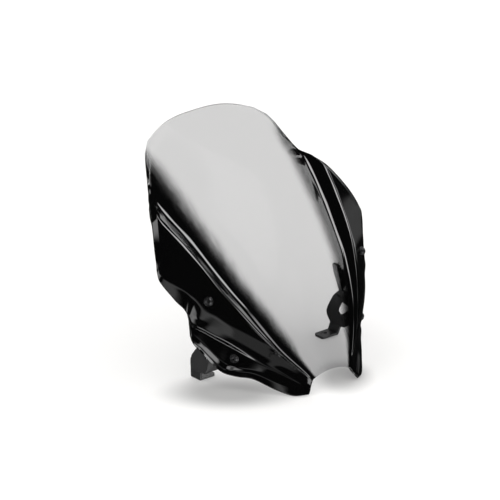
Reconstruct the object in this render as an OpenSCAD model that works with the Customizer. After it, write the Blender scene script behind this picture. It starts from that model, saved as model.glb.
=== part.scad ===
// Motorcycle windshield screen: one thermoformed acrylic sheet with black moulded wings,
// carried by two bent steel brackets through four rubber-isolated screw stacks.
// X is across the screen, -Y is forward (the riding direction), +Z is up.
// The origin is midway between the mounting holes of the two feet, on their undersides.

/* [Sheet] */
// Thickness of the acrylic sheet
sheet_thick = 3; // [2:0.5:4]
// Rake of the sheet's chord above the horizontal, in degrees
rake = 44.5; // [42:0.5:47]
// Height by which the middle of the bubble bows out of the chord
bow = 28; // [20:1:34]
// Forward place of the notch between the two lobes
notch_y = -126.2; // [-130:0.1:-122]
// Height of the notch above the feet
notch_z = 23.9; // [22:0.1:30]

/* [Screw stacks] */
// Shank diameter of the four button screws
screw_d = 5; // [4:1:6]
// Shank length of the four button screws
screw_len = 20; // [19:1:24]
// Flange diameter of the button head
head_d = 11.5; // [10:0.5:13]
// Height of the whole button head
head_h = 3.2; // [2.5:0.1:4]
// Width across flats of the socket in the head
socket_af = 3; // [2.5:0.5:4]
// Outer diameter of the nylon washer under the head
nylon_d = 11; // [10:0.5:13]
// Diameter of the hole in the sheet that takes the rubber bush
sheet_hole = 8.5; // [8:0.5:10]
// Diameter of the rubber bush's flange behind the sheet
bush_flange = 14; // [12:0.5:16]
// Outer diameter of the aluminium spacer
spacer_d = 10; // [9:0.5:12]
// Distance from the sheet's outer face to the bracket pad
standoff = 10; // [9:0.5:11]
// Width across flats of the locknut
nut_af = 8; // [7:0.5:10]

/* [Brackets] */
// Thickness of the bracket plate
plate = 3; // [2:0.5:4]
// Width of the bent straps
strap = 20; // [16:1:24]
// Diameter of the mounting hole in each foot
foot_hole = 6.6; // [5.5:0.1:8.5]
// Distance of each mounting hole from the centre line
foot_x = 96; // [94:0.5:99]
// Lean of the C-shaped plate towards the centre line, in degrees
lean = 14; // [10:1:18]

/* [Hidden] */
PLACES = ["upper_left", "upper_right", "lower_left", "lower_right"];
STACK = ["screw", "nylon_washer", "rubber_bush", "spacer", "steel_washer", "locknut"];

nylon_h = 1;
washer_h = 1;
bush_h = 1.5;
nut_h = 5;
clearance = 0.3;

// ---- Lines of the sheet ------------------------------------------------------------------
// Each line is a crease that runs from the top edge to the lower tip. A knot is
// [station, half width, distance up the chord, height above the chord].
LAST = 371;
CHORD = 367;
valley = [
    [0, 74, 351, 1], [84, 112, 283, -3], [100, 116.5, 266, 0], [122, 113.5, 246, 3],
    [168, 104.6, 200, 9], [206, 98, 163, 10], [238, 91, 132, 11], [262, 83, 107, 10.5],
    [294, 72, 75, 7.5], [325, 58, 42, 2], [LAST, 28.5, -4, -4]
];
ridge = [
    [0, 79, 348.7, 1], [84, 114.5, 282, -3.5], [100, 124, 263, 5], [122, 130.5, 245, 9],
    [168, 121.5, 200, 16], [206, 113, 162, 18.5], [238, 105.5, 132, 17.3],
    [262, 96.5, 107, 15.5], [294, 82.5, 75, 11], [325, 64, 42, 5], [LAST, 30, -5.5, -5]
];
fold = [
    [0, 83.5, 346, 1], [84, 116, 281, -4], [100, 125.5, 263, 5], [122, 133, 245, 8.5],
    [168, 151, 201, 3.5], [206, 159.5, 182, -4.5], [222, 149, 165, -0.5], [238, 137, 143, 1.5],
    [246, 127, 124.5, 1], [262, 116.5, 107.5, 2], [294, 98.5, 81.5, 4], [325, 74.5, 52, 3],
    [350, 53.3, 28, 0.5], [LAST, 31.8, -7.8, -6.7]
];
edge = [
    [0, 95.2, 333, 2], [40, 100.5, 323, 1], [84, 120.2, 277.5, -6], [100, 128.8, 265, -0.5],
    [122, 140, 244, 4], [168, 157, 199, -1.6], [206, 160.9, 178, -9], [222, 150, 150, -15],
    [238, 138.5, 126.5, -21.5], [246, 137.5, 102, -40], [262, 129.5, 86.3, -45.3],
    [294, 111, 55.5, -52.5], [310, 99.7, 42, -46.3], [325, 87, 30.7, -37.4],
    [350, 67, 3, -27.5], [362, 53, -12, -20], [LAST, 39.6, -18, -11.3]
];
// Below this station the lobe has creases of its own. Above it they share the strip between
// the fold and the edge, at the shares that each line gives first.
LOBE = 238;
band_foot = [
    [238, 137.3, 130.2, -20.5], [246, 134, 119, -14], [262, 122.5, 103.5, -11.3],
    [294, 104, 76, -8], [325, 78.5, 45, -7.5], [350, 57, 22, -8], [LAST, 33.6, -10.2, -7.9]
];
lobe_ridge = [
    [238, 137.5, 129.5, -20.8], [246, 136, 118, -25], [262, 126.5, 101, -20],
    [294, 107, 74.5, -15.5], [325, 81.5, 43.5, -14.8], [350, 61, 19.5, -11.6],
    [LAST, 35.7, -13.2, -9.1]
];
recess_top = [
    [238, 137.6, 129, -21.1], [246, 134.5, 116.3, -29.2], [262, 124.5, 99.9, -25.1],
    [294, 104.5, 73.4, -21], [310, 94.3, 58.5, -18.4], [325, 81, 41.4, -17.7],
    [350, 60.7, 17.4, -14.4], [LAST, 36.2, -14.1, -9.4]
];
recess_foot = [
    [238, 137.9, 128.1, -21.2], [246, 134.9, 110.6, -35.4], [262, 125.8, 91.8, -36.8],
    [294, 106.3, 61.7, -43.4], [310, 96.7, 48.8, -36.2], [325, 84.2, 36.7, -27.3],
    [350, 64.4, 12, -18.3], [LAST, 37.3, -15.5, -9.9]
];
lower_ridge = [
    [238, 138.2, 127.4, -21.3], [246, 138, 105.7, -36.8], [262, 129.5, 87.2, -40.3],
    [294, 110, 58.2, -47.4], [310, 99.5, 46.6, -39.2], [325, 86, 34.5, -29.8],
    [350, 66, 9.5, -20.2], [LAST, 38.4, -16.7, -10.5]
];
lobe_lines = [band_foot, lobe_ridge, recess_top, recess_foot, lower_ridge];
// Share of the strip from fold to edge at which each lobe line lies, [station, share]
shares = [
    [[0, 0.30], [206, 0.35], [222, 0.86], [LOBE, 0.92]],
    [[0, 0.50], [206, 0.55], [222, 0.89], [LOBE, 0.94]],
    [[0, 0.65], [206, 0.70], [222, 0.92], [LOBE, 0.955]],
    [[0, 0.78], [206, 0.82], [222, 0.95], [LOBE, 0.97]],
    [[0, 0.90], [206, 0.92], [222, 0.98], [LOBE, 0.985]]
];
// How far each crease is cut back on both sides to round it
cut_back = [5, 3.5, 5, 2.5, 2, 1.2, 1.2, 1.2];

// Stations of the mesh rows, closer together where the lobe begins
rows = concat([for (w = [0:11:198]) w], [206, 214, 222, 231, 237, 240, 243, 246, 250],
              [for (w = [256:8:360]) w], [366, LAST]);
bubble_steps = 6;

// ---- Curve functions ---------------------------------------------------------------------
function span(tab, w, i = 0) =
    (i >= len(tab) - 2 || w < tab[i + 1][0]) ? i : span(tab, w, i + 1);
function slope(tab, i, c) = (tab[i + 1][c] - tab[i][c]) / (tab[i + 1][0] - tab[i][0]);
// Slope at a knot that never overshoots its neighbours
function knot_slope(tab, i, c) =
    i == 0 ? slope(tab, 0, c)
    : i == len(tab) - 1 ? slope(tab, i - 1, c)
    : let (a = slope(tab, i - 1, c), b = slope(tab, i, c),
           ha = tab[i][0] - tab[i - 1][0], hb = tab[i + 1][0] - tab[i][0])
      a * b <= 0 ? 0 : 3 * (ha + hb) / ((2 * hb + ha) / a + (hb + 2 * ha) / b);
function smooth(tab, w, c) =
    let (i = span(tab, w), h = tab[i + 1][0] - tab[i][0], q = (w - tab[i][0]) / h,
         a = knot_slope(tab, i, c), b = knot_slope(tab, i + 1, c))
    tab[i][c] * (1 + 2 * q) * pow(1 - q, 2) + tab[i + 1][c] * q * q * (3 - 2 * q)
    + h * q * pow(1 - q, 2) * a - h * q * q * (1 - q) * b;
function on_line(tab, w) = [for (c = [1:3]) smooth(tab, w, c)];
function mix(a, b, q) = a * (1 - q) + b * q;
function unit(v) = v / norm(v);

// The centre line of the bubble at a station
function centre(w) =
    let (up = CHORD * (1 - w / LAST), q = up / CHORD)
    [0, up, 4 * bow * q * (1 - q)];
function lobe_point(k, w) =
    w > LOBE ? on_line(lobe_lines[k], w)
    : mix(on_line(fold, w), on_line(edge, w), smooth(shares[k], w, 1));
// The nine creases of one half at a station, from the valley to the edge
function creases(w) = concat(
    [on_line(valley, w), on_line(ridge, w), on_line(fold, w)],
    [for (k = [0:4]) lobe_point(k, w)],
    [on_line(edge, w)]
);
// From chord coordinates to the part's own frame
up_dir = [0, cos(rake), sin(rake)];
out_dir = [0, -sin(rake), cos(rake)];
function place_point(p) = [p[0], notch_y, notch_z] + p[1] * up_dir + p[2] * out_dir;

// Where the cut-back at crease k ends, towards the neighbour point
function cut_point(p, other, k) =
    p + unit(other - p) * min(cut_back[k], 0.4 * norm(other - p));
function bubble_point(w, q) =
    let (c = centre(w), v = on_line(valley, w), power = 2 + 0.8 * max(0, 1 - w / 84))
    [v[0] * q, mix(c[1], v[1], pow(abs(q), power)), mix(c[2], v[2], q * q)];
// One half section, from the centre line to the edge
function half_section(w) =
    let (key = creases(w),
         bubble = [for (i = [0:bubble_steps - 1]) bubble_point(w, i / bubble_steps)],
         before = concat([bubble[bubble_steps - 1]], key))
    concat(bubble,
        [for (k = [0:7]) each concat(
            [cut_point(key[k], before[k], k), cut_point(key[k], key[k + 1], k)],
            (k < 3 || k == 5) ? [mix(key[k], key[k + 1], 0.5)] : [])],
        [key[8]]);

// ---- Directions through the sheet's thickness ----------------------------------------------
function along(w, k) = place_point(creases(w + 2)[k]) - place_point(creases(w - 2)[k]);
function face_normal(w, a, b) =
    let (key = creases(w), n = unit(cross(place_point(key[b]) - place_point(key[a]), along(w, b))))
    n * out_dir < 0 ? -n : n;
function inside(w) = min(max(w, 3), LAST - 3);
function bubble_normal(w, q) =
    let (s = inside(w), d = 0.05,
         u = place_point(bubble_point(s, q + d)) - place_point(bubble_point(s, q - d)),
         v = place_point(bubble_point(s + 2, q)) - place_point(bubble_point(s - 2, q)),
         n = unit(cross(u, v)))
    n * out_dir < 0 ? -n : n;
// Blend from the wing's normal to the lobe's, as the lobe leaves the wing
function lobe_normal(w) =
    let (wing = face_normal(min(inside(w), LOBE), 1, 2), lobe = face_normal(max(inside(w), 250), 5, 6))
    unit(mix(wing, lobe, min(max((w - LOBE) / 10, 0), 1)));
function key_normals(w) =
    let (s = inside(w), wall = face_normal(s, 0, 1), wing = face_normal(s, 1, 2),
         lobe = lobe_normal(w), rim = bubble_normal(w, 1))
    [unit(rim + wall), unit(wall + wing), unit(2 * wing + lobe), unit(wing + lobe),
     unit(wing + 2 * lobe), lobe, lobe, lobe, lobe];
function half_normals(w) =
    let (n = key_normals(w))
    concat([for (i = [0:bubble_steps - 1]) bubble_normal(w, i / bubble_steps)],
        [for (k = [0:7]) each concat([n[k], n[k]],
            (k < 3 || k == 5) ? [unit(n[k] + n[k + 1])] : [])],
        [n[8]]);

// ---- Screen ------------------------------------------------------------------------------
function flip(p) = [-p[0], p[1], p[2]];
function both_sides(half, first = 1) =
    concat([for (j = [len(half) - 1:-1:first]) flip(half[j])], half);

module sheet_solid() {
    outer = [for (w = rows) let (h = half_section(w)) both_sides([for (p = h) place_point(p)])];
    aim = [for (w = rows) both_sides(half_normals(w))];
    cols = len(outer[0]);
    count = len(rows) * cols;
    points = concat(
        [for (i = [0:len(rows) - 1]) for (j = [0:cols - 1]) outer[i][j]],
        [for (i = [0:len(rows) - 1]) for (j = [0:cols - 1]) outer[i][j] - sheet_thick * aim[i][j]]
    );
    function at(i, j, side) = side * count + i * cols + j;
    skin = [for (i = [0:len(rows) - 2]) for (j = [0:cols - 2]) each [
        [at(i, j, 0), at(i, j + 1, 0), at(i + 1, j + 1, 0)],
        [at(i, j, 0), at(i + 1, j + 1, 0), at(i + 1, j, 0)],
        [at(i, j, 1), at(i + 1, j + 1, 1), at(i, j + 1, 1)],
        [at(i, j, 1), at(i + 1, j, 1), at(i + 1, j + 1, 1)]
    ]];
    last = len(rows) - 1;
    ends = [for (j = [0:cols - 2]) each [
        [at(0, j, 0), at(0, j, 1), at(0, j + 1, 1)],
        [at(0, j, 0), at(0, j + 1, 1), at(0, j + 1, 0)],
        [at(last, j, 0), at(last, j + 1, 1), at(last, j, 1)],
        [at(last, j, 0), at(last, j + 1, 0), at(last, j + 1, 1)]
    ]];
    sides = [for (i = [0:last - 1]) each [
        [at(i, 0, 0), at(i + 1, 0, 1), at(i, 0, 1)],
        [at(i, 0, 0), at(i + 1, 0, 0), at(i + 1, 0, 1)],
        [at(i, cols - 1, 0), at(i, cols - 1, 1), at(i + 1, cols - 1, 1)],
        [at(i, cols - 1, 0), at(i + 1, cols - 1, 1), at(i + 1, cols - 1, 0)]
    ]];
    polyhedron(points, concat(skin, ends, sides), convexity = 8);
}

module screen() {
    color([0.2, 0.2, 0.22, 0.6]) difference() {
        sheet_solid();
        for (place = PLACES) at_screw(place) {
            translate([0, 0, -10]) cylinder(d = sheet_hole, h = 20, $fn = 48);
            cylinder(d = nylon_d + 1, h = 6, $fn = 48);
            translate([0, 0, -sheet_thick - 6]) cylinder(d = bush_flange + 1, h = 6, $fn = 48);
        }
    }
}

// ---- Screw stacks --------------------------------------------------------------------------
// The upper screw is on the wing between ridge and fold, the lower one on the lobe's recess
upper_w = 244;
upper_share = 0.7;
lower_w = 303;
lower_share = 0.5;
upper_seat = place_point(mix(creases(upper_w)[1], creases(upper_w)[2], upper_share));
lower_seat = place_point(mix(creases(lower_w)[5], creases(lower_w)[6], lower_share));
upper_axis = face_normal(upper_w, 1, 2);
lower_axis = face_normal(lower_w, 5, 6);

function is_left(place) = place == PLACES[0] || place == PLACES[2];
function is_upper(place) = place == PLACES[0] || place == PLACES[1];
module side_of(place) {
    if (is_left(place)) mirror([1, 0, 0]) children();
    else children();
}
// Stand a child on a seat with its +Z along the seat's axis
module stand(seat, axis) {
    translate(seat) rotate([0, acos(axis[2]), atan2(axis[1], axis[0])]) children();
}
module at_screw(place) {
    side_of(place) stand(is_upper(place) ? upper_seat : lower_seat,
                         is_upper(place) ? upper_axis : lower_axis) children();
}
module ring(outer_d, inner_d, z0, h, sides = 64) {
    translate([0, 0, z0]) difference() {
        cylinder(d = outer_d, h = h, $fn = sides);
        translate([0, 0, -1]) cylinder(d = inner_d, h = h + 2, $fn = 64);
    }
}

module screw(place) {
    rim_h = 0.9;
    dome_d = 9.5;
    color([0.05, 0.05, 0.05]) at_screw(place) difference() {
        union() {
            translate([0, 0, nylon_h - screw_len]) cylinder(d = screw_d, h = screw_len, $fn = 64);
            translate([0, 0, nylon_h]) rotate_extrude($fn = 64) polygon([
                [0, 0], [head_d / 2, 0], [head_d / 2, rim_h * 0.6], [head_d / 2 - 0.4, rim_h],
                [dome_d / 2, rim_h], [dome_d / 2 - 0.7, rim_h + 1.2],
                [dome_d / 2 - 1.8, head_h - 0.3], [dome_d / 2 - 2.6, head_h], [0, head_h]
            ]);
        }
        translate([0, 0, nylon_h + head_h - 2])
            cylinder(d = socket_af / cos(30), h = 3, $fn = 6);
    }
}
module nylon_washer(place) {
    color([0.03, 0.03, 0.03]) at_screw(place) ring(nylon_d, screw_d, 0, nylon_h);
}
module rubber_bush(place) {
    color([0.08, 0.08, 0.08]) at_screw(place) {
        difference() {
            union() {
                translate([0, 0, -sheet_thick - bush_h])
                    cylinder(d = bush_flange, h = bush_h, $fn = 64);
                translate([0, 0, -sheet_thick - bush_h])
                    cylinder(d = sheet_hole, h = sheet_thick + bush_h, $fn = 64);
            }
            translate([0, 0, -sheet_thick - bush_h - 1])
                cylinder(d = screw_d, h = sheet_thick + bush_h + 2, $fn = 64);
        }
    }
}
module spacer(place) {
    color([0.75, 0.75, 0.77]) at_screw(place)
        ring(spacer_d, screw_d + clearance, -standoff, standoff - sheet_thick - bush_h);
}
module steel_washer(place) {
    color([0.7, 0.7, 0.72]) at_screw(place)
        ring(10, screw_d + clearance, -standoff - plate - washer_h, washer_h);
}
module locknut(place) {
    top = -standoff - plate - washer_h;
    collar_h = 1.2;
    color([0.7, 0.7, 0.72]) at_screw(place) difference() {
        union() {
            translate([0, 0, top - nut_h + collar_h])
                cylinder(d = nut_af / cos(30), h = nut_h - collar_h, $fn = 6);
            translate([0, 0, top - nut_h]) cylinder(d = nut_af - 0.6, h = nut_h, $fn = 64);
        }
        translate([0, 0, top - nut_h - 1]) cylinder(d = screw_d, h = nut_h + 2, $fn = 64);
    }
}

// ---- Brackets ------------------------------------------------------------------------------
foot_in = 85;
foot_out = 109;
foot_back = 7.5;
foot_front = -9.5;
neck_x = 111;
neck_top = 12.5;
// The C plate's outline in its own plane, [along Y, up the plate]. Its front edge is the bend
// line, from which the arms turn towards the screws.
c_outline = [
    [5, -1], [7.5, 5], [9, 10], [8, 16], [4, 23], [-4, 34], [-13, 45.5], [-19.5, 51.5],
    [-27.5, 58], [-24.5, 84], [-25.5, 97], [-34.5, 97], [-33.5, 58], [-27.5, 41],
    [-20.5, 32], [-15.5, 25], [-14, 20.5], [-16, 17.5], [-24, 20], [-22.5, 1], [-12.5, -1]
];
lower_bend = [[-21.5, 2], [-23.5, 20]];
middle_bend = [[-27.5, 42], [-32.5, 60]];
upper_bend = [[-32.5, 60], [-33.5, 96]];
slot_place = [-24.5, 48.5];
slot_long = 6.5;
slot_wide = 3;

// A round bar between two points, the rounded bend line of a plate
module bar(a, b) {
    run = b - a;
    translate(a) rotate([0, acos(run[2] / norm(run)), atan2(run[1], run[0])])
        cylinder(d = plate, h = norm(run), $fn = 20);
}
// A point of the C plate, and its middle plane with x through its thickness
function c_point(p) = [neck_x - p[1] * sin(lean), p[0], neck_top + p[1] * cos(lean)];
module in_c_plane() {
    translate([neck_x - plate / 2, 0, neck_top]) rotate([0, -lean, 0])
        rotate([90, 0, 90]) linear_extrude(plate) children();
}
module pad(seat, axis) {
    stand(seat, axis) translate([0, 0, -standoff - plate])
        cylinder(d = strap - 2, h = plate, $fn = 48);
}

module foot() {
    round_r = 4;
    linear_extrude(plate) offset(r = round_r, $fn = 32) offset(delta = -round_r)
        translate([foot_in, foot_front]) square([foot_out - foot_in, foot_back - foot_front]);
    translate([foot_out - 2 * round_r, foot_front, 0])
        cube([2 * round_r, foot_back - foot_front, plate]);
}
module neck() {
    hull() {
        bar([foot_out, foot_front, plate / 2], [foot_out, foot_back, plate / 2]);
        bar([neck_x, -12.5, neck_top], [neck_x, 5.5, neck_top]);
    }
}
module c_plate() {
    in_c_plane() difference() {
        offset(r = 2, $fn = 24) offset(r = -3, $fn = 24) offset(r = 1, $fn = 24)
            polygon(c_outline);
        translate(slot_place) rotate(30) for (x = [-1, 1] * (slot_long - slot_wide) / 2)
            translate([x, 0]) circle(d = slot_wide, $fn = 24);
        translate(slot_place) rotate(30)
            square([slot_long - slot_wide, slot_wide], center = true);
    }
}
module arm(bend) {
    hull() {
        bar(c_point(bend[0]), c_point(bend[1]));
        children();
    }
}

module bracket_right() {
    forward = [-3, -13, 0];
    color([0.06, 0.06, 0.065]) difference() {
        union() {
            foot();
            neck();
            c_plate();
            arm(lower_bend) pad(lower_seat, lower_axis);
            arm(upper_bend) pad(upper_seat, upper_axis);
            arm(middle_bend)
                bar(c_point(middle_bend[0]) + forward, c_point(middle_bend[1]) + forward);
        }
        translate([foot_x, 0, -1]) cylinder(d = foot_hole, h = plate + 2, $fn = 64);
        for (place = ["upper_right", "lower_right"]) at_screw(place)
            translate([0, 0, -standoff - plate - 5])
                cylinder(d = screw_d + clearance, h = plate + 10, $fn = 64);
    }
}
module bracket_left() {
    mirror([1, 0, 0]) bracket_right();
}

screen();
bracket_left();
bracket_right();
for (place = PLACES) {
    screw(place);
    nylon_washer(place);
    rubber_bush(place);
    spacer(place);
    steel_washer(place);
    locknut(place);
}
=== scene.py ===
"""Looks of a motorcycle windshield screen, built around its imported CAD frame.

The acrylic sheet is lofted again, finely, from the same lines as the CAD sheet and stands for it.
The brackets and the fasteners are the CAD nodes themselves with procedural finishes.
Lengths are millimetres in the sheet's own sections, and metres in its materials and the studio,
apart from the floor and the flag, which are made as meshes too.
"""

import math

import bpy
import numpy as np
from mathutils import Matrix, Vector

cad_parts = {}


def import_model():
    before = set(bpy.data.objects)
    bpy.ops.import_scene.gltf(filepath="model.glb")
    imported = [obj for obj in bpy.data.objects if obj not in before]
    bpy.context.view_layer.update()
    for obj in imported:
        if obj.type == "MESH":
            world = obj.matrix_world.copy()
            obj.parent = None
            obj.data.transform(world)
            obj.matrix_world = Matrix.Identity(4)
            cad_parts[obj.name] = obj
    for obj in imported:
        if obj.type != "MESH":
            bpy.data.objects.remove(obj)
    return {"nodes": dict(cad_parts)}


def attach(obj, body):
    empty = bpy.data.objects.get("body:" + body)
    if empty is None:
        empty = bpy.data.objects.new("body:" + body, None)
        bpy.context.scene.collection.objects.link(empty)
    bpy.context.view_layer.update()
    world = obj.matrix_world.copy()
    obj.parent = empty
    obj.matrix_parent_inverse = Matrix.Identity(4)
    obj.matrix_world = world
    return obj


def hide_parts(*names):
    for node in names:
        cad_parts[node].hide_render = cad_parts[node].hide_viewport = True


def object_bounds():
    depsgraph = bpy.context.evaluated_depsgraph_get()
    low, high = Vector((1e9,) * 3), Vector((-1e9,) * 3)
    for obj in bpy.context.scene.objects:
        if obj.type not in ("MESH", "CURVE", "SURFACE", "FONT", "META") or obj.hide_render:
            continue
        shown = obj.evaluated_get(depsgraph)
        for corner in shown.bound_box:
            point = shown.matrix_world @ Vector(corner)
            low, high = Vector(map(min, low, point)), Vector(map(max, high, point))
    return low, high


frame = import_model()
cad_low, cad_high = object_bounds()

MM = 0.001

# ---- Lines of the sheet, as in the CAD part ------------------------------------------------------
SHEET_THICK = 3.0
# The chord runs from the notch up to the top edge, RAKE above the horizontal. The centre line
# stands out from its middle by BOW
RAKE = math.radians(44.5)
NOTCH = np.array([0.0, -126.2, 23.9])
CHORD = 367.0
BOW = 28.0
# Stations run from 0 at the top edge to LAST at the notch. The wings start at WING_TOP, the lobes'
# own creases at LOBE, and the recess along a lobe has its full depth from RECESS_START
LAST = 371.0
WING_TOP = 84.0
LOBE = 238.0
RECESS_START = 250.0
# A knot is station, half width, distance up the chord, height above the chord
VALLEY = np.array([
    [0, 74, 351, 1], [84, 112, 283, -3], [100, 116.5, 266, 0], [122, 113.5, 246, 3],
    [168, 104.6, 200, 9], [206, 98, 163, 10], [238, 91, 132, 11], [262, 83, 107, 10.5],
    [294, 72, 75, 7.5], [325, 58, 42, 2], [LAST, 28.5, -4, -4],
])
RIDGE = np.array([
    [0, 79, 348.7, 1], [84, 114.5, 282, -3.5], [100, 124, 263, 5], [122, 130.5, 245, 9],
    [168, 121.5, 200, 16], [206, 113, 162, 18.5], [238, 105.5, 132, 17.3],
    [262, 96.5, 107, 15.5], [294, 82.5, 75, 11], [325, 64, 42, 5], [LAST, 30, -5.5, -5],
])
FOLD = np.array([
    [0, 83.5, 346, 1], [84, 116, 281, -4], [100, 125.5, 263, 5], [122, 133, 245, 8.5],
    [168, 151, 201, 3.5], [206, 159.5, 182, -4.5], [222, 149, 165, -0.5], [238, 137, 143, 1.5],
    [246, 127, 124.5, 1], [262, 116.5, 107.5, 2], [294, 98.5, 81.5, 4], [325, 74.5, 52, 3],
    [350, 53.3, 28, 0.5], [LAST, 31.8, -7.8, -6.7],
])
EDGE = np.array([
    [0, 95.2, 333, 2], [40, 100.5, 323, 1], [84, 120.2, 277.5, -6], [100, 128.8, 265, -0.5],
    [122, 140, 244, 4], [168, 157, 199, -1.6], [206, 160.9, 178, -9], [222, 150, 150, -15],
    [238, 138.5, 126.5, -21.5], [246, 137.5, 102, -40], [262, 129.5, 86.3, -45.3],
    [294, 111, 55.5, -52.5], [310, 99.7, 42, -46.3], [325, 87, 30.7, -37.4],
    [350, 67, 3, -27.5], [362, 53, -12, -20], [LAST, 39.6, -18, -11.3],
])
# Creases of the lobe, below station LOBE
LOBE_LINES = [
    np.array([  # foot of the band
        [238, 137.3, 130.2, -20.5], [246, 134, 119, -14], [262, 122.5, 103.5, -11.3],
        [294, 104, 76, -8], [325, 78.5, 45, -7.5], [350, 57, 22, -8], [LAST, 33.6, -10.2, -7.9],
    ]),
    np.array([  # ridge of the lobe
        [238, 137.5, 129.5, -20.8], [246, 136, 118, -25], [262, 126.5, 101, -20],
        [294, 107, 74.5, -15.5], [325, 81.5, 43.5, -14.8], [350, 61, 19.5, -11.6],
        [LAST, 35.7, -13.2, -9.1],
    ]),
    np.array([  # top of the recess
        [238, 137.6, 129, -21.1], [246, 134.5, 116.3, -29.2], [262, 124.5, 99.9, -25.1],
        [294, 104.5, 73.4, -21], [310, 94.3, 58.5, -18.4], [325, 81, 41.4, -17.7],
        [350, 60.7, 17.4, -14.4], [LAST, 36.2, -14.1, -9.4],
    ]),
    np.array([  # foot of the recess
        [238, 137.9, 128.1, -21.2], [246, 134.9, 110.6, -35.4], [262, 125.8, 91.8, -36.8],
        [294, 106.3, 61.7, -43.4], [310, 96.7, 48.8, -36.2], [325, 84.2, 36.7, -27.3],
        [350, 64.4, 12, -18.3], [LAST, 37.3, -15.5, -9.9],
    ]),
    np.array([  # lower ridge
        [238, 138.2, 127.4, -21.3], [246, 138, 105.7, -36.8], [262, 129.5, 87.2, -40.3],
        [294, 110, 58.2, -47.4], [310, 99.5, 46.6, -39.2], [325, 86, 34.5, -29.8],
        [350, 66, 9.5, -20.2], [LAST, 38.4, -16.7, -10.5],
    ]),
]
# Above station LOBE the same creases share the strip from fold to edge: station, share
SHARES = [
    np.array([[0, 0.30], [206, 0.35], [222, 0.86], [LOBE, 0.92]]),
    np.array([[0, 0.50], [206, 0.55], [222, 0.89], [LOBE, 0.94]]),
    np.array([[0, 0.65], [206, 0.70], [222, 0.92], [LOBE, 0.955]]),
    np.array([[0, 0.78], [206, 0.82], [222, 0.95], [LOBE, 0.97]]),
    np.array([[0, 0.90], [206, 0.92], [222, 0.98], [LOBE, 0.985]]),
]
# The creases of one half are the valley, the ridge, the fold, the lobe's own and the edge
KEYS = 3 + len(LOBE_LINES) + 1
VALLEY_KEY, RIDGE_KEY, FOLD_KEY, RECESS_TOP_KEY, RECESS_FOOT_KEY = 0, 1, 2, 5, 6
# How far the rounding of each reaches to both sides of it, which is at most CUT_LIMIT of the strip
# there, and for the valley BUBBLE_CUT_LIMIT of the bubble's half
CUT_BACK = [5, 3.5, 5, 2.5, 2, 1.2, 1.2, 1.2]
CUT_LIMIT = 0.4
BUBBLE_CUT_LIMIT = 0.3
# How much the outline of the bubble's top edge is flatter than a parabola in its middle
TOP_FLATTENING = 0.8
UP_DIR = np.array([0.0, math.cos(RAKE), math.sin(RAKE)])
OUT_DIR = np.array([0.0, -math.sin(RAKE), math.cos(RAKE)])

# Where the clear middle turns black: distance up the chord, half width, half of the fade's width,
# and how far the print sits off the centre line
FADE = np.array([
    [-40, 8, 2, 2.3], [3, 30, 2, 2.3], [13, 34, 3, 2.3], [28, 40.5, 4.5, 2.3], [49, 47, 9, 2.3],
    [70, 55, 10, 2.3], [90, 62, 10.5, 2.3], [110, 68.5, 11.5, 2.3], [130, 74.5, 12, 2.3],
    [150, 78.5, 12.5, 2.3], [189, 85, 13, 2.3], [228, 90, 13, 2.3], [267, 95, 14, 4.8],
    [305, 98.7, 13.5, 7.5], [330, 104.7, 12.5, 9], [380, 131, 12, 9],
])
# The shade is kept within this many half widths of the fade
SHADE_LIMIT = 4

# Fineness of the visual sheet: columns of the half bubble, of each crease's rounding and of the
# strip after each crease, and rows as first station, last station, spacing
BUBBLE_COLUMNS = 34
ARC_COLUMNS = 7
STRIP_COLUMNS = [3, 22, 8, 4, 3, 12, 2, 5]
ROWS = [(0, 232, 2.75), (232, 262, 1.5), (262, LAST - 1, 2.4)]
# Rounding of the rim's two long edges
RIM_ROUNDING = 0.7
RIM_SEGMENTS = 3


# ---- Curve functions -----------------------------------------------------------------------------
# w is an array of stations, and q a share of the way from one place to the next
def smooth(table, w, column):
    """Monotone cubic through a table's knots."""
    x, y = table[:, 0], table[:, column]
    step = np.diff(x)
    rise = np.diff(y) / step
    a, b, ha, hb = rise[:-1], rise[1:], step[:-1], step[1:]
    turns = a * b <= 0
    inner = 3 * (ha + hb) / (
        (2 * hb + ha) / np.where(turns, 1, a) + (hb + 2 * ha) / np.where(turns, 1, b))
    slope = np.concatenate([rise[:1], np.where(turns, 0, inner), rise[-1:]])
    i = np.clip(np.searchsorted(x, w, side="right") - 1, 0, len(x) - 2)
    q = (w - x[i]) / step[i]
    return (y[i] * (1 + 2 * q) * (1 - q) ** 2 + y[i + 1] * q * q * (3 - 2 * q)
            + step[i] * q * (1 - q) ** 2 * slope[i] - step[i] * q * q * (1 - q) * slope[i + 1])


def on_line(table, w):
    """Points of a crease in chord coordinates: half width, up the chord, above the chord."""
    return np.stack([smooth(table, w, c) for c in (1, 2, 3)], -1)


def mix(a, b, q):
    return a * (1 - q) + b * q


def unit(v):
    return v / np.linalg.norm(v, axis=-1, keepdims=True)


def place_point(p):
    """From chord coordinates to the part's own frame."""
    return NOTCH + p[..., :1] * [1.0, 0, 0] + p[..., 1:2] * UP_DIR + p[..., 2:] * OUT_DIR


def centre(w):
    """The centre line, a parabola over the chord."""
    up = CHORD * (1 - w / LAST)
    q = up / CHORD
    return np.stack([0 * up, up, 4 * BOW * q * (1 - q)], -1)


def lobe_point(k, w):
    """One of the creases between the fold and the edge."""
    share = smooth(SHARES[k], np.minimum(w, LOBE), 1)[..., None]
    shared = mix(on_line(FOLD, w), on_line(EDGE, w), share)
    own = on_line(LOBE_LINES[k], np.maximum(w, LOBE))
    return np.where((w > LOBE)[..., None], own, shared)


def creases(w):
    """The nine creases of one half at each station, from the valley to the edge."""
    lines = [on_line(VALLEY, w), on_line(RIDGE, w), on_line(FOLD, w)]
    lines += [lobe_point(k, w) for k in range(len(LOBE_LINES))]
    return np.stack(lines + [on_line(EDGE, w)], 1)


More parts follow.
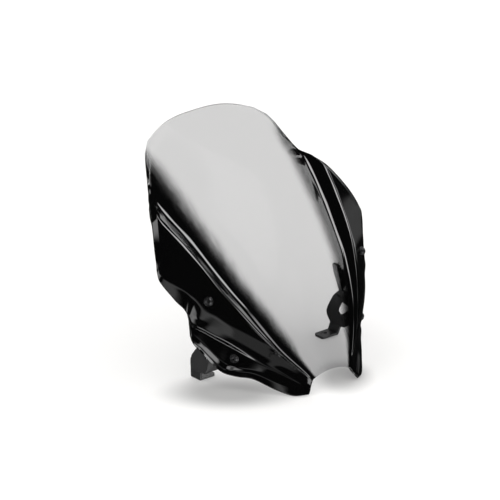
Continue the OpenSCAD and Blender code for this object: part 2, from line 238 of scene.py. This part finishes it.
def bubble_point(w, q):
    """The bubble, from the centre line at q = 0 to the valley at q = 1."""
    c, v = centre(w), on_line(VALLEY, w)
    power = 2 + TOP_FLATTENING * np.maximum(0, 1 - w / WING_TOP)
    up = mix(c[:, 1], v[:, 1], np.abs(q) ** power)
    out = mix(c[:, 2], v[:, 2], q * q)
    return np.stack([v[:, 0] * q, up, out], -1)


# ---- Directions through the sheet's thickness ----------------------------------------------------
# Slopes are taken over these steps along the stations and across the bubble
STATION_STEP = 2
SHARE_STEP = 0.05
# They are taken at least this far from both end stations
END_MARGIN = 3
# Stations over which the directions turn from the wing's to the lobe's
LOBE_TURN = 10
# Share of the bubble's half over which its directions turn to the valley's
VALLEY_TURN = 0.2


def inside(w):
    """The stations, kept off both ends."""
    return np.clip(w, END_MARGIN, LAST - END_MARGIN)


def outwards(n):
    """Unit vectors, turned to the sheet's outer side."""
    n = unit(n)
    return np.where((n @ OUT_DIR < 0)[..., None], -n, n)


def face_normal(w, a, b):
    """Direction out of the face between creases a and b."""
    key = place_point(creases(w))
    after = place_point(creases(w + STATION_STEP)[:, b])
    before = place_point(creases(w - STATION_STEP)[:, b])
    return outwards(np.cross(key[:, b] - key[:, a], after - before))


def bubble_normal(w, q):
    """Direction out of the bubble."""
    s = inside(w)
    left = place_point(bubble_point(s, q + SHARE_STEP))
    right = place_point(bubble_point(s, q - SHARE_STEP))
    after = place_point(bubble_point(s + STATION_STEP, q))
    before = place_point(bubble_point(s - STATION_STEP, q))
    return outwards(np.cross(left - right, after - before))


def key_normals(w):
    """Directions at the creases, each between those of the faces beside it."""
    s = inside(w)
    wall = face_normal(s, VALLEY_KEY, RIDGE_KEY)
    wing = face_normal(s, RIDGE_KEY, FOLD_KEY)
    wing_last = face_normal(np.minimum(s, LOBE), RIDGE_KEY, FOLD_KEY)
    recess = face_normal(np.maximum(s, RECESS_START), RECESS_TOP_KEY, RECESS_FOOT_KEY)
    turned = np.clip((w - LOBE) / LOBE_TURN, 0, 1)[:, None]
    lobe = unit(mix(wing_last, recess, turned))
    rim = bubble_normal(w, np.ones_like(w))
    first = [
        unit(rim + wall), unit(wall + wing), unit(2 * wing + lobe),
        unit(wing + lobe), unit(wing + 2 * lobe),
    ]
    return np.stack(first + [lobe] * (KEYS - len(first)), 1)


# ---- The sheet's mesh ----------------------------------------------------------------------------
def cut_point(p, other, k):
    """Where crease k's rounding ends, on the way from the crease at p to its neighbour."""
    gap = other - p
    length = np.linalg.norm(gap, axis=-1, keepdims=True)
    return p + gap / length * np.minimum(CUT_BACK[k], CUT_LIMIT * length)


def bezier(a, b, c, t):
    """A rounding from a to c, with the crease at b."""
    return a * (1 - t) ** 2 + 2 * b * t * (1 - t) + c * t * t


def half_section(w):
    """Points and thickness directions of one half, from the centre line to the edge."""
    key, aim = creases(w), key_normals(w)
    # Where the valley's rounding starts, judged by the length of the bubble's last stretch
    stretch = 0.04
    gap = bubble_point(w, np.ones_like(w)) - bubble_point(w, np.full_like(w, 1 - stretch))
    reach = 1 - np.minimum(CUT_BACK[0] / np.linalg.norm(gap, axis=-1) * stretch, BUBBLE_CUT_LIMIT)
    points, aims = [], []
    for i in range(BUBBLE_COLUMNS):
        q = reach * i / BUBBLE_COLUMNS
        turn = np.clip((q - (1 - VALLEY_TURN)) / VALLEY_TURN, 0, 1)[:, None]
        points.append(bubble_point(w, q))
        aims.append(unit(mix(bubble_normal(w, q), aim[:, 0], turn * turn * (3 - 2 * turn))))
    start = bubble_point(w, reach)
    for k in range(KEYS - 1):
        end = cut_point(key[:, k], key[:, k + 1], k)
        for i in range(ARC_COLUMNS + 1):
            points.append(bezier(start, key[:, k], end, i / ARC_COLUMNS))
            aims.append(aim[:, k])
        start = cut_point(key[:, k + 1], key[:, k], k + 1) if k < KEYS - 2 else key[:, KEYS - 1]
        for i in range(1, STRIP_COLUMNS[k]):
            share = i / STRIP_COLUMNS[k]
            points.append(mix(end, start, share))
            aims.append(unit(mix(aim[:, k], aim[:, k + 1], share)))
    points.append(key[:, KEYS - 1])
    aims.append(aim[:, KEYS - 1])
    return np.stack(points, 1), np.stack(aims, 1)


def both_sides(half):
    """The half and its mirror image, sharing the column on the centre line."""
    flip = np.array([-1.0, 1, 1])
    return np.concatenate([half[:, :0:-1] * flip, half], 1)


def stations():
    return np.concatenate([np.arange(*row) for row in ROWS] + [[LAST]])


def shade_of(points):
    """Signed distance past the fade line, in half widths of the fade. Above 1 is black."""
    up = np.clip(points[..., 1], FADE[0, 0], FADE[-1, 0])
    middle = smooth(FADE, up, 1)
    half = smooth(FADE, up, 2)
    aside = smooth(FADE, up, 3)
    return np.clip((np.abs(points[..., 0] - aside) - middle) / half, -SHADE_LIMIT, SHADE_LIMIT)


def new_mesh(name, vertices, faces, smooth_faces=True):
    """A new object from points in millimetres and faces."""
    mesh = bpy.data.meshes.new(name)
    mesh.from_pydata((np.asarray(vertices) * MM).tolist(), [], [tuple(f) for f in faces])
    mesh.polygons.foreach_set("use_smooth", [smooth_faces] * len(mesh.polygons))
    mesh.update()
    obj = bpy.data.objects.new(name, mesh)
    bpy.context.scene.collection.objects.link(obj)
    return obj


def apply_modifiers(obj):
    """Replaces the object's mesh with what its modifiers make of it."""
    bpy.context.view_layer.update()
    depsgraph = bpy.context.evaluated_depsgraph_get()
    made = bpy.data.meshes.new_from_object(obj.evaluated_get(depsgraph))
    old = obj.data
    obj.modifiers.clear()
    obj.data = made
    made.name = obj.name
    bpy.data.meshes.remove(old)


def sheet_faces(rows, cols):
    """Faces of the outer skin, the inner skin and the rim between them, and the outer border."""
    skin = rows * cols
    number = np.arange(skin).reshape(rows, cols)
    a, b, c, d = number[:-1, :-1], number[:-1, 1:], number[1:, 1:], number[1:, :-1]
    outer = np.stack([a, b, c, d], -1).reshape(-1, 4)
    inner = np.stack([a, d, c, b], -1).reshape(-1, 4) + skin
    border = np.concatenate([number[0, ::-1], number[1:, 0], number[-1, 1:], number[-2:0:-1, -1]])
    after = np.roll(border, -1)
    rim = np.stack([border, after, after + skin, border + skin], -1)
    return outer, inner, rim, border


def soften_rim(sheet, border, skin):
    """Rounds the two long edges of the rim. The inner skin's vertices are numbered from skin on."""
    mesh = sheet.data
    ends = np.zeros(len(mesh.edges) * 2, np.int32)
    mesh.edges.foreach_get("vertices", ends)
    steps = list(zip(border.tolist(), np.roll(border, -1).tolist()))
    long_edges = set(steps) | {(j, i) for i, j in steps}
    weight = np.array([
        float((i, j) in long_edges or (i - skin, j - skin) in long_edges)
        for i, j in ends.reshape(-1, 2).tolist()
    ], np.float32)
    mesh.attributes.new("bevel_weight_edge", "FLOAT", "EDGE").data.foreach_set("value", weight)
    soften = sheet.modifiers.new("soft_rim", "BEVEL")
    soften.limit_method = "WEIGHT"
    soften.width = RIM_ROUNDING * MM
    soften.segments = RIM_SEGMENTS
    soften.use_clamp_overlap = False
    apply_modifiers(sheet)


def build_sheet(skin_material, rim_material):
    """The closed sheet, with the shade of the print at each vertex and a softened rim."""
    points, aims = [both_sides(half) for half in half_section(stations())]
    outer = place_point(points)
    inner = outer - SHEET_THICK * aims
    rows, cols = outer.shape[:2]
    *faces, border = sheet_faces(rows, cols)
    vertices = np.concatenate([outer.reshape(-1, 3), inner.reshape(-1, 3)])
    sheet = new_mesh("screen_sheet", vertices, np.concatenate(faces))
    mesh = sheet.data
    shade = shade_of(points).reshape(-1)
    attribute = mesh.attributes.new("shade", "FLOAT", "POINT")
    attribute.data.foreach_set("value", np.concatenate([shade, shade]).astype(np.float32))
    mesh.materials.append(skin_material)
    mesh.materials.append(rim_material)
    slots = np.zeros(len(mesh.polygons), np.int32)
    slots[-len(border):] = 1
    mesh.polygons.foreach_set("material_index", slots)
    soften_rim(sheet, border, rows * cols)
    return sheet


# ---- Node helpers --------------------------------------------------------------------------------
def new_material(name):
    material = bpy.data.materials.new(name)
    material.use_nodes = True
    material.node_tree.nodes.clear()
    return material, material.node_tree


def add(tree, kind, **values):
    """A node with its properties and its sockets' values set."""
    node = tree.nodes.new(kind)
    for key, value in values.items():
        if key in node.inputs:
            node.inputs[key].default_value = value
        else:
            setattr(node, key, value)
    return node


def feed(tree, node, values):
    """Gives a node's first inputs their values: numbers, tuples or the outputs of other nodes."""
    for socket, value in zip(node.inputs, values):
        if isinstance(value, (int, float, tuple)):
            socket.default_value = value
        else:
            tree.links.new(value, socket)
    return node


def math_node(tree, operation, *values):
    return feed(tree, add(tree, "ShaderNodeMath", operation=operation), values).outputs[0]


def vector_node(tree, operation, *values):
    return feed(tree, add(tree, "ShaderNodeVectorMath", operation=operation), values)


def map_range(tree, value, low, high, to_low, to_high):
    """Smooth step from one range to another, held at both ends."""
    node = add(tree, "ShaderNodeMapRange", interpolation_type="SMOOTHSTEP")
    feed(tree, node, (value, low, high, to_low, to_high))
    return node.outputs["Result"]


def object_coords(tree, rotation=(0, 0, 0), scale=(1, 1, 1)):
    """Object coordinates, turned and then scaled."""
    coords = tree.nodes.new("ShaderNodeTexCoord")
    turn = add(tree, "ShaderNodeVectorRotate", rotation_type="EULER_XYZ", Rotation=rotation)
    tree.links.new(coords.outputs["Object"], turn.inputs["Vector"])
    return vector_node(tree, "MULTIPLY", turn.outputs[0], scale).outputs[0]


def noise(tree, vector, scale, detail):
    node = add(tree, "ShaderNodeTexNoise", Scale=scale, Detail=detail)
    tree.links.new(vector, node.inputs["Vector"])
    return node.outputs["Fac"]


def bump(tree, height, strength, distance):
    node = add(tree, "ShaderNodeBump", Strength=strength, Distance=distance)
    tree.links.new(height, node.inputs["Height"])
    return node.outputs["Normal"]


def output(tree, shader):
    node = tree.nodes.new("ShaderNodeOutputMaterial")
    tree.links.new(shader, node.inputs["Surface"])


def mix_shader(tree, share, a, b):
    return feed(tree, add(tree, "ShaderNodeMixShader"), (share, a, b)).outputs[0]


def principled(tree, values, links=None):
    """The main shader, with the values of its sockets and what else feeds them."""
    node = add(tree, "ShaderNodeBsdfPrincipled", **values)
    for key, source in (links or {}).items():
        tree.links.new(source, node.inputs[key])
    return node.outputs[0]


def two_tone(tree, share, dark, light):
    """A colour between dark and light."""
    node = add(tree, "ShaderNodeMix", data_type="RGBA")
    tree.links.new(share, node.inputs[0])
    # The node has its colour sockets after those for numbers and vectors
    first, second, result = node.inputs[6], node.inputs[7], node.outputs[2]
    first.default_value = (*dark, 1)
    second.default_value = (*light, 1)
    return result


def schlick(tree):
    """Share that a polished surface mirrors, the same from both of its sides."""
    square_on = 0.04
    # At this blend, Facing is one less the cosine of the angle of sight
    facing = add(tree, "ShaderNodeLayerWeight", Blend=0.5).outputs["Facing"]
    steep = math_node(tree, "MULTIPLY", math_node(tree, "POWER", facing, 5.0), 1 - square_on)
    return math_node(tree, "ADD", steep, square_on)


# ---- Materials -----------------------------------------------------------------------------------
ACRYLIC_IOR = 1.49
DOT_PITCH = 1.5 * MM
# Share of a polished surface's reflections that the clear middle keeps
WINDOW_GLOSS = 0.05
# How much of the clear rim is lit, the rest being seen through
RIM_GLOW = 0.75


def dot_screen(tree, vector):
    """A square screen of dots that stands on its corner, from -1 to 1."""
    grid = add(tree, "ShaderNodeSeparateXYZ")
    tree.links.new(vector, grid.inputs[0])
    turn = 2 * math.pi / (DOT_PITCH * math.sqrt(2))
    waves = []
    for operation in ("ADD", "SUBTRACT"):
        way = math_node(tree, operation, grid.outputs["X"], grid.outputs["Y"])
        waves.append(math_node(tree, "SINE", math_node(tree, "MULTIPLY", way, turn)))
    return math_node(tree, "MULTIPLY", *waves)


def shade_tint(tree):
    """How black the sheet is: the fade line broken up by fine streaks and a screen of dots."""
    shade = add(tree, "ShaderNodeAttribute", attribute_name="shade").outputs["Fac"]
    flat = (-RAKE, 0, 0)
    streak = noise(tree, object_coords(tree, flat, (1.0, 0.06, 0.0)), 620, 1.5)
    cloud = noise(tree, object_coords(tree, flat, (1.0, 0.35, 0.0)), 60, 3.0)
    dots = dot_screen(tree, object_coords(tree, flat))
    # Each pattern with its middle value, and how far it shifts the fade
    for pattern, middle, depth in ((streak, 0.5, 0.9), (cloud, 0.5, 0.25), (dots, 0.0, 0.4)):
        shift = math_node(tree, "MULTIPLY", math_node(tree, "SUBTRACT", pattern, middle), depth)
        shade = math_node(tree, "ADD", shade, shift)
    return map_range(tree, shade, -1.0, 1.0, 0.0, 1.0)


def acrylic():
    """Light smoke in the middle, black outside the fade, polished all over."""
    material, tree = new_material("smoked_acrylic")
    smoke = add(tree, "ShaderNodeBsdfTransparent", Color=(0.765, 0.765, 0.768, 1)).outputs[0]
    gloss = add(tree, "ShaderNodeBsdfGlossy", Roughness=0.02).outputs[0]
    window = mix_shader(tree, math_node(tree, "MULTIPLY", schlick(tree), WINDOW_GLOSS), smoke, gloss)
    ripple = bump(tree, noise(tree, object_coords(tree), 9.0, 2.0), 0.08, 0.0015)
    ink = (0.0014, 0.0014, 0.0015, 1)
    values = {"Base Color": ink, "Roughness": 0.045, "IOR": ACRYLIC_IOR}
    black = principled(tree, values, {"Normal": ripple})
    output(tree, mix_shader(tree, shade_tint(tree), window, black))
    return material


def acrylic_rim():
    """The flame-polished rim, which gathers light where the sheet is clear."""
    material, tree = new_material("acrylic_rim")
    clear = add(tree, "ShaderNodeBsdfTransparent", Color=(0.9, 0.9, 0.9, 1)).outputs[0]
    pale, ink = (0.66, 0.665, 0.67, 1), (0.003, 0.003, 0.003, 1)
    glow = principled(tree, {"Base Color": pale, "Roughness": 0.2, "IOR": ACRYLIC_IOR})
    black = principled(tree, {"Base Color": ink, "Roughness": 0.12, "IOR": ACRYLIC_IOR})
    lit = mix_shader(tree, RIM_GLOW, clear, glow)
    output(tree, mix_shader(tree, shade_tint(tree), lit, black))
    return material


def mottled(name, tones, mottle, roughness, relief, values):
    """A finish that is mottled between two tones and has a fine relief.

    mottle is the scale and detail of the noise between the tones. roughness is one number, or
    its lowest and highest with the scale of its noise. relief is the scale and detail of its
    noise, its strength and its depth.
    """
    material, tree = new_material(name)
    coords = object_coords(tree)
    scale, detail, strength, depth = relief
    links = {
        "Base Color": two_tone(tree, noise(tree, coords, *mottle), *tones),
        "Normal": bump(tree, noise(tree, coords, scale, detail), strength, depth),
    }
    if isinstance(roughness, tuple):
        lowest, highest, scale = roughness
        links["Roughness"] = map_range(tree, noise(tree, coords, scale, 2.0), 0.3, 0.7, lowest, highest)
    else:
        values = {**values, "Roughness": roughness}
    output(tree, principled(tree, values, links))
    return material


def powder_coat():
    """Matte black powder coat with a fine orange peel."""
    tones = (0.011, 0.011, 0.0115), (0.02, 0.02, 0.0205)
    return mottled("powder_coat", tones, (45, 3.0), (0.42, 0.56, 700), (1900, 2.0, 0.35, 0.00025),
                   {"IOR": 1.5})


def black_zinc():
    tones = (0.012, 0.012, 0.013), (0.03, 0.03, 0.031)
    return mottled("black_zinc", tones, (300, 3.0), (0.24, 0.4, 900), (1500, 2.0, 0.15, 0.0001),
                   {"Metallic": 0.6, "IOR": 1.5})


def black_nylon():
    tones = (0.008, 0.008, 0.008), (0.014, 0.014, 0.014)
    return mottled("black_nylon", tones, (400, 3.0), 0.42, (1400, 3.0, 0.2, 0.0001), {"IOR": 1.53})


def black_rubber():
    tones = (0.012, 0.012, 0.012), (0.022, 0.021, 0.021)
    return mottled("black_rubber", tones, (250, 4.0), 0.75, (1100, 4.0, 0.3, 0.0002), {"IOR": 1.52})


def turned_aluminium():
    tones = (0.55, 0.555, 0.565), (0.72, 0.725, 0.735)
    return mottled("turned_aluminium", tones, (200, 3.0), (0.24, 0.36, 1300),
                   (2500, 1.0, 0.2, 0.00008), {"Metallic": 1.0})


def bright_zinc():
    tones = (0.50, 0.51, 0.52), (0.70, 0.70, 0.69)
    return mottled("bright_zinc", tones, (320, 4.0), (0.2, 0.34, 800), (1700, 2.0, 0.15, 0.0001),
                   {"Metallic": 1.0})


# ---- Pieces --------------------------------------------------------------------------------------
sheet = build_sheet(acrylic(), acrylic_rim())
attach(sheet, "root")
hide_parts("screen")

# Finish of each family of CAD nodes, and the material slot that it stands for
zinc = (bright_zinc(), "zinc_steel")
FINISHES = {
    "bracket": (powder_coat(), "black_steel"),
    "screw": (black_zinc(), "screw_black"),
    "nylon_washer": (black_nylon(), "nylon_black"),
    "rubber_bush": (black_rubber(), "rubber"),
    "spacer": (turned_aluminium(), "aluminium"),
    "steel_washer": zinc,
    "locknut": zinc,
}
for name, node in frame["nodes"].items():
    for family, (material, slot) in FINISHES.items():
        if name.startswith(family + "_"):
            node.data.materials.clear()
            node.data.materials.append(material)


# ---- Studio --------------------------------------------------------------------------------------
# Azimuth 0 is in front, on -Y, and 90 is on the rider's left, on +X
VIEW_AZIMUTH = -40
VIEW_ELEVATION = 23
VIEW_TARGET = Vector((0.0222, 0.0539, 0.1156))
VIEW_DISTANCE = 15.24
LENS = 900
SENSOR = 36

FLOOR_HALF = 4000
# The lobes' tips reach as low as the undersides of the feet, so the floor keeps a little below
FLOOR_GAP = 0.2
# Soft shadows painted into the floor's colour and glow: middle (to the camera's right, then away from
# it), half sizes, depth
PAINTED_SHADOWS = [
    ((-0.043, -0.114), (0.085, 0.052), 0.5),     # beside the lobe on the rider's right
    ((0.095, -0.066), (0.038, 0.055), 0.45),     # under the other lobe's tip
]
# Each fades out between these shares of its half sizes
PAINTED_SHADOW_CORE, PAINTED_SHADOW_END = 0.3, 1.2


def painted_soft_shadow(tree, middle, half, depth):
    """Share of the floor's colour and glow left by one soft elliptic shadow painted on it."""
    turned = object_coords(tree, (0, 0, -math.radians(VIEW_AZIMUTH)), (1, 1, 0))
    shifted = vector_node(tree, "SUBTRACT", turned, (*middle, 0)).outputs[0]
    scaled = vector_node(tree, "DIVIDE", shifted, (*half, 1)).outputs[0]
    away = vector_node(tree, "LENGTH", scaled).outputs["Value"]
    return map_range(tree, away, PAINTED_SHADOW_CORE, PAINTED_SHADOW_END, 1 - depth, 1.0)


def rectangle(name, corners, material):
    """One flat face, from its corners in millimetres."""
    plane = new_mesh(name, corners, [(0, 1, 2, 3)], False)
    plane.data.materials.append(material)
    return plane


def floor():
    """A pale floor just under the object, which its polished faces don't mirror, with soft shadows
    painted into its colour and its even glow.
    """
    material, tree = new_material("pale_floor")
    tones = (0.72, 0.714, 0.703), (0.74, 0.734, 0.723)
    pale = two_tone(tree, noise(tree, object_coords(tree), 30, 2.0), *tones)
    # Painted shade: the soft shadows darken the floor's colour and its glow
    light = math_node(tree, "MULTIPLY", *[painted_soft_shadow(tree, *values) for values in PAINTED_SHADOWS])
    glow = two_tone(tree, light, (0, 0, 0), (1, 1, 1))
    colour = vector_node(tree, "MULTIPLY", pale, glow).outputs[0]
    values = {"Roughness": 0.9, "Specular IOR Level": 0.1, "Emission Strength": 0.3}
    output(tree, principled(tree, values, {"Base Color": colour, "Emission Color": glow}))
    far, level = FLOOR_HALF, cad_low.z / MM - FLOOR_GAP
    corners = [(-far, -far, level), (far, -far, level), (far, far, level), (-far, far, level)]
    plane = rectangle("floor", corners, material)
    plane.visible_glossy = False


# What mirrored rays see, in degrees: middle and half extent in azimuth, the same in elevation, and
# edge softness. Brightness comes last
PANELS = [
    (54, 25, 54, 10, 3, 10.0),      # long softbox over the rider's left
    (37, 14, 28, 12, 3, 5.0),       # its lower wing, in front
    (-1, 9, 11, 11, 3, 5.0),        # low window in front
    (-62, 8, 30, 6, 3, 4.0),        # and one on the rider's right
    (-80, 20, 73, 11, 3, 4.0),      # softbox over the rider's right
    (-90, 22, 9, 8, 4, 4.0),        # card on the rider's right
    (-98, 14, -6, 8, 4, 2.5),       # and its foot
    (-57, 7, -15, 5, 3, 0.6),       # table edge in front, on the rider's right
    (-40, 22, -16, 9, 5, 0.5),      # table in front
    (-99, 14, -22, 8, 4, 3.2),      # pale floor on the rider's right
    (-81, 16, -52, 6, 2, 6.0),      # glint from below
    (-68, 12, -45, 5, 3, 0.5),      # and the haze beside it
    (116, 26, 5, 6, 3, 0.33),       # far side of the room
    (150, 16, 24, 16, 5, 1.9),      # softbox behind
    (15, 30, -33, 16, 6, 5.0),      # pale floor in front
]
# Brightness between the panels, and of the white dome that all other rays see
ROOM = 0.012
DOME = 1.12


def panel(tree, azimuth, elevation, across, half_across, up, half_up, soft, radiance):
    """A soft-edged rectangle in the mirrored surroundings."""
    share = radiance
    for value, middle, half in ((azimuth, across, half_across), (elevation, up, half_up)):
        away = math_node(tree, "ABSOLUTE", math_node(tree, "SUBTRACT", value, middle))
        slab = map_range(tree, away, half - soft, half + soft, 1.0, 0.0)
        share = math_node(tree, "MULTIPLY", slab, share)
    return share


def world():
    """A white dome for soft light. Mirrored rays see a dark studio with a few panels instead."""
    made = bpy.data.worlds.new("studio")
    made.use_nodes = True
    tree = made.node_tree
    tree.nodes.clear()
    way = tree.nodes.new("ShaderNodeSeparateXYZ")
    tree.links.new(tree.nodes.new("ShaderNodeTexCoord").outputs["Generated"], way.inputs[0])
    forward = math_node(tree, "MULTIPLY", way.outputs["Y"], -1.0)
    azimuth = math_node(tree, "DEGREES", math_node(tree, "ARCTAN2", way.outputs["X"], forward))
    elevation = math_node(tree, "DEGREES", math_node(tree, "ARCSINE", way.outputs["Z"]))
    bright = ROOM
    for values in PANELS:
        bright = math_node(tree, "ADD", panel(tree, azimuth, elevation, *values), bright)
    studio = add(tree, "ShaderNodeBackground", Color=(1, 1, 1, 1))
    tree.links.new(bright, studio.inputs["Strength"])
    dome = add(tree, "ShaderNodeBackground", Color=(1, 1, 1, 1), Strength=DOME)
    mirrored = tree.nodes.new("ShaderNodeLightPath").outputs["Is Glossy Ray"]
    seen = mix_shader(tree, mirrored, dome.outputs[0], studio.outputs[0])
    tree.links.new(seen, tree.nodes.new("ShaderNodeOutputWorld").inputs["Surface"])
    bpy.context.scene.world = made


def direction(azimuth, elevation):
    """Unit vector from the object towards a place in the studio."""
    a, e = math.radians(azimuth), math.radians(elevation)
    return Vector((math.sin(a) * math.cos(e), -math.cos(a) * math.cos(e), math.sin(e)))


# Reflectors beyond the rider's left wing: plane X, then low and high corner in Y and Z
CARDS = [
    (1.2, (0.28, 0.50), (0.395, 0.81)),
    (1.2, (0.29, 0.29), (0.45, 0.50)),
    (0.35, (-0.12, 0.18), (0.0, 0.285)),
    (0.35, (0.0, 0.243), (0.033, 0.275)),
    (0.35, (-0.02, 0.286), (0.075, 0.32)),
    (0.35, (-0.075, 0.13), (-0.022, 0.18)),
]
CARD_RADIANCE = 2.4
# A small one low behind the sheet, to lift the bracket's strap out of the dark
STRAP_CARD = {
    "middle": (0.068, 0.011, 0.060), "facing": (0.34, -0.70, 0.63),
    "across": 0.03, "up": 0.03, "radiance": 8.0,
}
# A dark flag beside the rider's left lobe: its X, and its ends in Y and in Z
FLAG_X = 170
FLAG_Y = (-400, -100)
FLAG_Z = (60, 270)


def card(name, middle, facing, across, up, radiance):
    """A reflector that is only seen in reflections."""
    light = bpy.data.lights.new(name, "AREA")
    light.shape = "RECTANGLE"
    light.size, light.size_y = across, up
    light.energy = radiance * across * up * math.pi
    lamp = bpy.data.objects.new(name, light)
    bpy.context.scene.collection.objects.link(lamp)
    lamp.location = middle
    lamp.rotation_mode = "QUATERNION"
    lamp.rotation_quaternion = Vector(facing).to_track_quat("-Z", "Y")
    lamp.visible_camera = False
    lamp.visible_diffuse = False


def cards():
    for number, (plane, low, high) in enumerate(CARDS):
        middle = (plane, (low[0] + high[0]) / 2, (low[1] + high[1]) / 2)
        card(f"card_{number}", middle, (-1, 0, 0), high[0] - low[0], high[1] - low[1], CARD_RADIANCE)
    card("card_strap", **STRAP_CARD)


def flag():
    """The dark flag, only seen in reflections."""
    material, tree = new_material("flag_cloth")
    tones = (0.002, 0.002, 0.002), (0.004, 0.004, 0.004)
    colour = two_tone(tree, noise(tree, object_coords(tree), 40, 2.0), *tones)
    values = {"Roughness": 0.9, "Specular IOR Level": 0.0}
    output(tree, principled(tree, values, {"Base Color": colour}))
    (front, back), (foot, top) = FLAG_Y, FLAG_Z
    corners = [(FLAG_X, front, foot), (FLAG_X, back, foot), (FLAG_X, back, top), (FLAG_X, front, top)]
    cloth = rectangle("flag", corners, material)
    cloth.visible_camera = False
    cloth.visible_diffuse = False
    cloth.visible_transmission = False
    cloth.visible_shadow = False


def camera():
    """A long lens in front, on the rider's right and above the object."""
    data = bpy.data.cameras.new("camera")
    data.lens = LENS
    data.sensor_width = SENSOR
    eye = bpy.data.objects.new("camera", data)
    bpy.context.scene.collection.objects.link(eye)
    back = direction(VIEW_AZIMUTH, VIEW_ELEVATION)
    eye.location = VIEW_TARGET + back * VIEW_DISTANCE
    eye.rotation_mode = "QUATERNION"
    eye.rotation_quaternion = (-back).to_track_quat("-Z", "Y")
    bpy.context.scene.camera = eye


floor()
world()
cards()
flag()
camera()
bpy.context.scene.view_settings.view_transform = "Standard"
